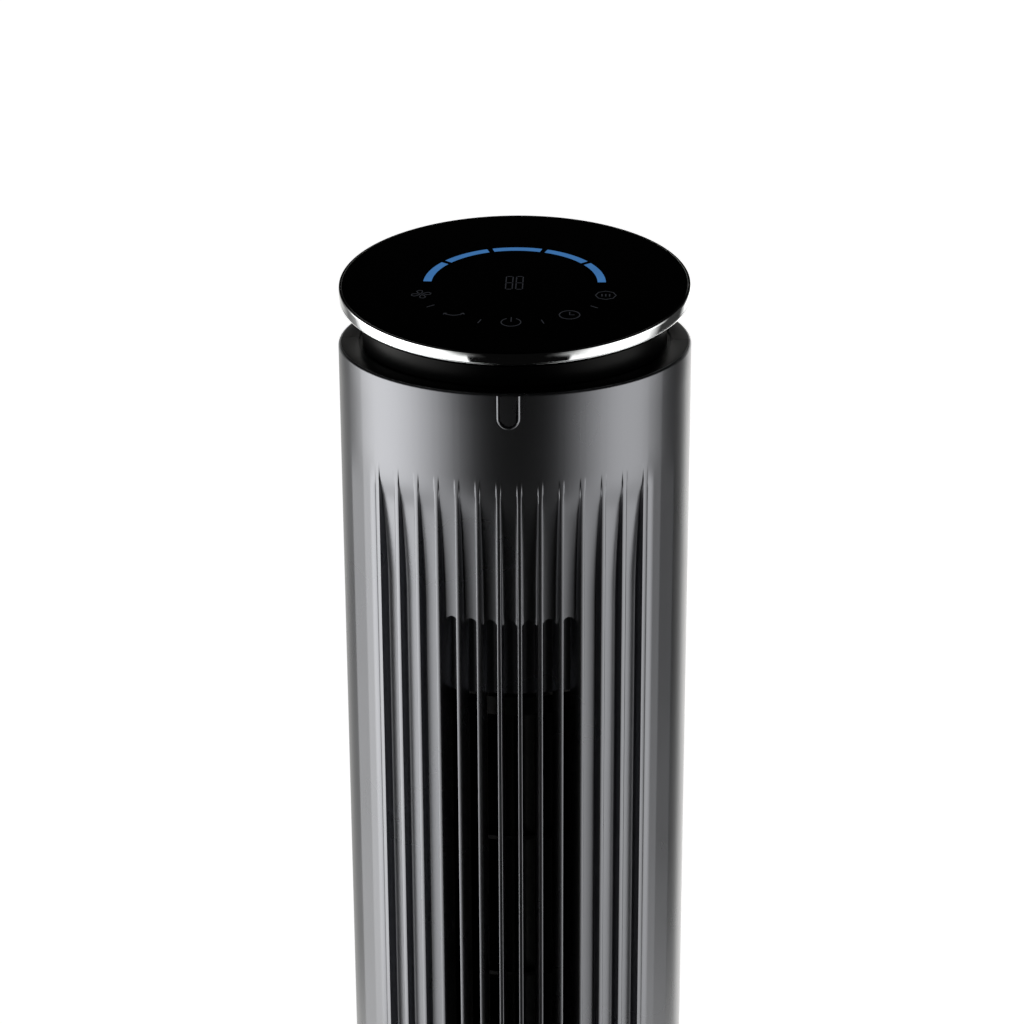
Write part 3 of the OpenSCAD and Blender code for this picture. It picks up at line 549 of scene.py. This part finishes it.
# The ledge inside the rim is moulded in the black of the neck.
def blackenLedge(piece):
    piece.data.materials.append(made["satin black ABS"])
    for face in piece.data.polygons:
        x, y, z = face.center / mm
        if z > rimZ - 1 and math.hypot(x, y) < colR - shell["rim corner"]:
            face.material_index = 1


def buildFront():
    piece = finishPiece(makeFrontShell(), "front_shell", "gunmetal lacquer", "column",
                        smooth=50)
    blackenLedge(piece)
    thicken(piece, shell["skin"])
    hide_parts("front_housing")
    lip = finishPiece(makeStepWalls(), "outlet_lips", "gunmetal lacquer", "column",
                      smooth=50)
    thicken(lip, shell["skin"])


window = {"width": 10.0, "height": 15.2, "edge": 0.35, "ridge": 0.25, "sunk": 0.3}


# An arch-topped outline turned upside down: straight at the rim, round at its foot.
def windowOutline(grow):
    half, high = window["width"] / 2 + grow, window["height"] - window["width"] / 2
    turns = [math.radians(t) for t in range(-90, 91, 9)]
    foot = [(half * math.sin(t), -high - half * math.cos(t)) for t in turns]
    return [(-half, 0)] + foot + [(half, 0)]


def buildWindow():
    bm = bmesh.new()
    top = rimZ - 0.9
    loops = []
    edge = window["edge"]
    for grow, lift in ((0, -window["sunk"]), (0, 0), (-edge, window["ridge"]), (-2 * edge, 0.03)):
        loop = []
        for x, z in windowOutline(grow):
            r = colR + lift
            loop.append(bm.verts.new((x, -math.sqrt(r * r - x * x), min(top + z, top))))
        loops.append(loop)
    for outer, inner in zip(loops, loops[1:]):
        sides = [p for ring in (outer, inner) for p in zip(ring, ring[1:] + ring[:1])]
        bmesh.ops.bridge_loops(bm, edges=[bm.edges.get(p) or bm.edges.new(p) for p in sides])
    bm.faces.new(loops[-1])
    bmesh.ops.recalc_face_normals(bm, faces=bm.faces)
    flat = max(bm.faces, key=lambda f: len(f.verts))
    for face in bm.faces:
        face.material_index = 0 if face == flat else 1
    piece = finishPiece(bm, "receiver_window", "piano black", "column", smooth=30, merge=False)
    piece.data.materials.append(made["gunmetal lacquer"])
    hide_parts("ir_window")


rear = {
    "window half": 58.0, "window z": (240.0, 860.0), "cup half": 47.2, "cup z": (882.8, 927.2), "skin": 2.5,
    "tower x": 69.5, "tower z": [100 + 200 * k for k in range(5)],
    "well": 3.8, "well wall": 1.0, "well foot": 9.2,
}


def rearRows():
    rows = footRows()
    marks = list(rear["window z"]) + list(rear["cup z"])
    for z in rear["tower z"]:
        marks += [z + rear["well"] * part for part in (-1.5, -1, -0.42, 0, 0.42, 1, 1.5)]
    marks += [footZ + 20, 170, 270, 330, 370, 430, 470, 530, 570, 630, 670, 730, 770, 830, 945]
    rows += [(z, 0) for z in sorted(marks)] + [(rimZ - shell["rim corner"], 0)]
    return rows + rimRows()


def rearColumns():
    well, towerX = rear["well"], rear["tower x"]
    side = [colR * math.sin(math.radians(t)) for t in (90, 86, 82, 78, 74, 70.5)]
    side += [towerX + well * part for part in (1, 0.42, 0, -0.42, -1)]
    side += [62, rear["window half"], 54, 50.5, rear["cup half"]]
    side += [rear["cup half"] * k / 10 for k in range(9, 0, -1)]
    return [-x for x in side] + [0] + side[::-1]


def makeRearShell():
    xs, rows = rearColumns(), rearRows()
    bm = bmesh.new()
    grid = bmesh.ops.create_grid(bm, x_segments=len(xs) - 1, y_segments=len(rows) - 1, size=1)["verts"]
    order = sorted(grid, key=lambda v: (round(v.co.y, 6), v.co.x))
    flat = {}
    for n, vert in enumerate(order):
        row, col = divmod(n, len(xs))
        flat[vert] = (xs[col], rows[row][0], rows[row][1])
    holes = [(-rear["window half"], rear["window half"]) + rear["window z"],
             (-rear["cup half"], rear["cup half"]) + rear["cup z"]]
    wells = [(side * rear["tower x"], z) for side in (-1, 1) for z in rear["tower z"]]
    holes += [(x - rear["well"], x + rear["well"], z - rear["well"], z + rear["well"]) for x, z in wells]
    gone = []
    for face in bm.faces:
        x = sum(flat[v][0] for v in face.verts) / 4
        z = sum(flat[v][1] for v in face.verts) / 4
        if any(x0 < x < x1 and z0 < z < z1 for x0, x1, z0, z1 in holes):
            gone.append(face)
    for vert, (x, z, inset) in flat.items():
        for wx, wz in wells:
            dx, dz = x - wx, z - wz
            if abs(max(abs(dx), abs(dz)) - rear["well"]) < 0.01:
                pull = rear["well"] / math.hypot(dx, dz)
                x, z = wx + dx * pull, wz + dz * pull
                break
        shrink = (colR - inset) / colR
        x = max(-colR, min(colR, x))
        vert.co = (x * shrink, max(math.sqrt(colR * colR - x * x) * shrink, shell["seam gap"]), z)
    bmesh.ops.delete(bm, geom=gone, context="FACES")
    bmesh.ops.recalc_face_normals(bm, faces=bm.faces)
    top = max(bm.faces, key=lambda f: f.calc_area())
    middle = top.calc_center_median()
    if top.normal.dot(Vector((middle.x, middle.y, 0))) < 0:
        bmesh.ops.reverse_faces(bm, faces=bm.faces)
    return bm


def buildRear():
    piece = finishPiece(makeRearShell(), "rear_shell", "gunmetal lacquer", "column",
                        smooth=35)
    blackenLedge(piece)
    thicken(piece, rear["skin"])
    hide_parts("rear_housing")
    outer, inner, foot = rear["well"] + rear["well wall"], rear["well"], rear["well foot"]
    bm = bmesh.new()
    for side in (-1, 1):
        for z in rear["tower z"]:
            tube = turned([(1.8, foot), (outer, foot), (outer, 36), (inner, 36),
                           (inner, foot + 0.8), (1.8, foot + 0.8)], 32)
            spare = bpy.data.meshes.new("tube")
            tube.to_mesh(spare)
            tube.free()
            fresh = len(bm.verts)
            bm.from_mesh(spare)
            bpy.data.meshes.remove(spare)
            bm.verts.ensure_lookup_table()
            turn = Matrix.Translation((side * rear["tower x"], 0, z)) @ Matrix.Rotation(-math.pi / 2, 4, "X")
            bmesh.ops.transform(bm, matrix=turn, verts=bm.verts[fresh:])
    finishPiece(bm, "screw_wells", "black ABS", "column", smooth=40)


base = {
    "radius": 150.0, "foot": 3.0, "wall top": 15.0, "collar": 60.0, "collar top": 55.0,
    "skin": 2.5, "gland z": 12.0, "gland": 5.02,
}


def buildBase():
    r, foot, collar = base["radius"], base["foot"], base["collar"]
    outline = rounded([(r - 3, foot, 0), (r, foot, 0.6), (r, foot + base["wall top"], 4),
                       (r - 5, foot + 20, 5), (collar + 6, foot + 35, 4), (collar, foot + 38, 4),
                       (collar, base["collar top"], 0.8),
                       (collar - 4, base["collar top"], 0)], 6)
    marks = [base["gland z"] + base["gland"] * part for part in (-1, -0.42, 0, 0.42, 1)]
    outline = [p for p in outline if p[1] < marks[0] - 0.2 or p[0] < r - 0.01 or p[1] > marks[-1] + 0.2]
    first = next(n for n, p in enumerate(outline) if p[1] > base["gland z"])
    outline[first:first] = [(r, z) for z in marks]
    step = base["gland"] / r
    turns = [math.pi / 2 + step * part for part in (-1, -0.42, 0, 0.42, 1)]
    rest = 2 * math.pi - 2 * step
    turns += [turns[4] + rest * k / 144 for k in range(1, 145)]
    bm = bmesh.new()
    grid = bmesh.ops.create_grid(bm, x_segments=len(turns) - 1, y_segments=len(outline) - 1, size=1)["verts"]
    order = sorted(grid, key=lambda v: (round(v.co.y, 6), v.co.x))
    flat = {}
    for n, vert in enumerate(order):
        row, col = divmod(n, len(turns))
        across, z = (turns[col] - math.pi / 2) * r, outline[row][1]
        flat[vert] = (across, z)
        dz = z - base["gland z"]
        turn = turns[col]
        if abs(max(abs(across), abs(dz)) - base["gland"]) < 0.01 and outline[row][0] == r:
            pull = base["gland"] / math.hypot(across, dz)
            turn, z = math.pi / 2 + across * pull / r, base["gland z"] + dz * pull
        vert.co = (outline[row][0] * math.cos(turn), outline[row][0] * math.sin(turn), z)
    limit = base["gland"]
    gone = [f for f in bm.faces if abs(sum(flat[v][0] for v in f.verts)) / 4 < limit
            and abs(sum(flat[v][1] for v in f.verts) / 4 - base["gland z"]) < limit]
    bmesh.ops.delete(bm, geom=gone, context="FACES")
    bmesh.ops.remove_doubles(bm, verts=bm.verts, dist=1e-3)
    bmesh.ops.recalc_face_normals(bm, faces=bm.faces)
    if max(bm.faces, key=lambda f: f.calc_area()).normal.z < 0:
        bmesh.ops.reverse_faces(bm, faces=bm.faces)
    piece = finishPiece(bm, "base_shell", "base ABS", "base", smooth=35)
    thicken(piece, base["skin"], even=True)
    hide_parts("base_cover")


head = {
    "height": 27.1, "tilt": 6.87, "glass": 78.2, "glass edge": 0.6, "ring wall": 1.1, "ring height": 6.5,
    "groove": 4.7, "neck": 69.0, "neck wall": 3.0, "arc": 39.3, "arc width": 3.7,
    "arc span": 32.4, "arc shift": -2.5,
    "key circle": 43.3, "print lift": 0.03,
}


def buildHead():
    place = headPlace()
    glassR, wall = head["glass"], head["ring wall"]
    outline = rounded([(0, 0, 0), (glassR, 0, head["glass edge"]), (glassR, -2, 0.2), (0, -2, 0)])
    bm = turned(outline, 160, closed=False)
    bmesh.ops.transform(bm, matrix=place, verts=bm.verts)
    glass = finishPiece(bm, "glass_panel", "black glass", "column", smooth=60)
    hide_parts("touch_glass")

    outer, groove, low = glassR + 0.05 + wall, head["groove"], head["ring height"]
    ringIn = glassR + 0.05
    corners = [(ringIn, -0.35, 0.1), (outer - 0.15, -0.35, 0.35), (outer, -1.2, 0.3), (outer, -groove, 0.2),
               (outer - 0.45, -groove, 0.05), (outer - 0.45, -groove - 0.35, 0.05),
               (outer - 0.05, -groove - 0.35, 0.1),
               (outer - 0.9, -low, 0.1), (ringIn, -low, 0.05)]
    bm = turned(rounded(corners), 200)
    bmesh.ops.transform(bm, matrix=place, verts=bm.verts)
    ring = finishPiece(bm, "bright_ring", "chrome plate", "column", smooth=50)
    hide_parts("chrome_ring")

    neckR = head["neck"]
    inner = neckR - head["neck wall"]
    bm = turned(rounded([(neckR, 0, 0.2), (neckR, 45, 0), (inner, 45, 0), (inner, 0, 0)]), 160)
    bmesh.ops.translate(bm, vec=(0, 0, rimZ - 0.7), verts=bm.verts)
    under = place @ Vector((0, 0, -low - 0.1))
    cut = bmesh.ops.bisect_plane(bm, geom=bm.verts[:] + bm.edges[:] + bm.faces[:], plane_co=under,
                                 plane_no=place.to_3x3() @ Vector((0, 0, 1)), clear_outer=True)
    rim = [e for e in cut["geom_cut"] if isinstance(e, bmesh.types.BMEdge)]
    bmesh.ops.bridge_loops(bm, edges=rim)
    neck = finishPiece(bm, "neck_collar", "satin black ABS", "column", smooth=40)
    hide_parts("neck")


# A thin printed mark from a flat outline in the glass plane.
def printMark(bm, points, thick=0.06):
    dots = [bm.verts.new((x, y, 0)) for x, y in points]
    face = bm.faces.new(dots)
    out = bmesh.ops.extrude_face_region(bm, geom=[face])["geom"]
    up = [v for v in out if isinstance(v, bmesh.types.BMVert)]
    bmesh.ops.translate(bm, vec=(0, 0, thick), verts=up)


def arcBand(r0, r1, a0, a1, steps=24):
    turns = [math.radians(a0 + (a1 - a0) * k / steps) for k in range(steps + 1)]
    outer = [(r1 * math.cos(t), r1 * math.sin(t)) for t in turns]
    return outer + [(r0 * math.cos(t), r0 * math.sin(t)) for t in reversed(turns)]


def buildLights():
    bm = bmesh.new()
    r, w, span = head["arc"], head["arc width"], head["arc span"]
    for k in range(5):
        mid = 18 + 36 * k
        printMark(bm, arcBand(r - w / 2, r + w / 2, mid - span / 2, mid + span / 2))
    bmesh.ops.translate(bm, vec=(0, head["arc shift"], head["print lift"] - 0.04), verts=bm.verts)
    bmesh.ops.recalc_face_normals(bm, faces=bm.faces)
    bmesh.ops.transform(bm, matrix=headPlace(), verts=bm.verts)
    finishPiece(bm, "light_arc", "blue light guide", "column")


# A printed line of the given width through some points; closed lines become rings.
def printLine(bm, points, width=0.5, closed=False):
    count = len(points)
    left, right = [], []
    for k, (x, y) in enumerate(points):
        before = points[k - 1] if k or closed else points[k]
        after = points[(k + 1) % count] if k + 1 < count or closed else points[k]
        along = Vector((after[0] - before[0], after[1] - before[1])).normalized() * width / 2
        left.append((x - along.y, y + along.x))
        right.append((x + along.y, y - along.x))
    ends = range(count if closed else count - 1)
    for k in ends:
        n = (k + 1) % count
        printMark(bm, [left[k], left[n], right[n], right[k]])


def circle(x, y, r, a0=0, a1=360, steps=28):
    turns = [math.radians(a0 + (a1 - a0) * k / steps) for k in range(steps + (a1 - a0 < 360))]
    return [(x + r * math.cos(t), y + r * math.sin(t)) for t in turns]


def moved(points, x, y, turn=0):
    c, s = math.cos(turn), math.sin(turn)
    return [(x + px * c - py * s, y + px * s + py * c) for px, py in points]


def keySpot(angle, r):
    return r * math.sin(math.radians(angle)), -r * math.cos(math.radians(angle))


def buildKeys():
    bm = bmesh.new()
    ring = head["key circle"]
    x, y = keySpot(-72, ring)                                # fan speed: four curved blades
    for k in range(4):
        blade = [(0.5, 0.3), (1.6, 1.5), (3.2, 2.2), (4.3, 1.2), (4.0, -0.2), (2.4, -0.5)]
        printLine(bm, moved(blade, x, y, k * math.pi / 2), closed=True)
    x, y = keySpot(-36, ring)                                # swing: a bow with two arrow ends
    printLine(bm, circle(x, y + 4, 5.2, 215, 325, 14))
    for side in (-1, 1):
        printLine(bm, [(x + side * 4.6, y - 0.3), (x + side * 4.3, y + 1.1), (x + side * 3.1, y + 0.8)])
    x, y = keySpot(0, ring)                                  # power: an open circle and a bar
    printLine(bm, circle(x, y, 4.3, 118, 422))
    printLine(bm, [(x, y + 0.6), (x, y + 5.2)])
    x, y = keySpot(36, ring)                                 # timer: a clock face
    printLine(bm, circle(x, y, 4.5), closed=True)
    printLine(bm, [(x, y + 2.9), (x, y), (x + 2.2, y)])
    x, y = keySpot(72, ring)                                 # mode: a dial with three marks
    printLine(bm, circle(x, y, 4.6, steps=8), closed=True)
    for dx in (-1.7, 0, 1.7):
        printLine(bm, [(x + dx, y - 1.3), (x + dx, y + 1.3)], 0.6)
    for angle in (-54, -18, 18, 54):
        printLine(bm, [keySpot(angle, ring - 0.6), keySpot(angle, ring + 3.4)])
    for dx in (-2.3, 2.3):                                   # two seven-bar digits
        w, h = 1.5, 7.2
        for y0 in (0, h):
            printLine(bm, [(dx - w, y0 + 0.4 - h), (dx - w, y0 + h - 0.4 - h)])
            printLine(bm, [(dx + w, y0 + 0.4 - h), (dx + w, y0 + h - 0.4 - h)])
        for y0 in (-h, 0, h):
            printLine(bm, [(dx - w + 0.4, y0), (dx + w - 0.4, y0)])
    bmesh.ops.translate(bm, vec=(0, head["arc shift"], head["print lift"] - 0.04), verts=bm.verts)
    bmesh.ops.recalc_face_normals(bm, faces=bm.faces)
    bmesh.ops.transform(bm, matrix=headPlace(), verts=bm.verts)
    finishPiece(bm, "key_print", "grey key print with painted glow", "column")


aimCamera()
buildStudio()
layFloor()
mixMaterials()
finishNodes()
print("studio and materials ready")
buildFront()
buildWindow()
print("front shell ready")
buildRear()
buildBase()
print("rear shell and base ready")
buildHead()
buildLights()
buildKeys()
print("head ready")
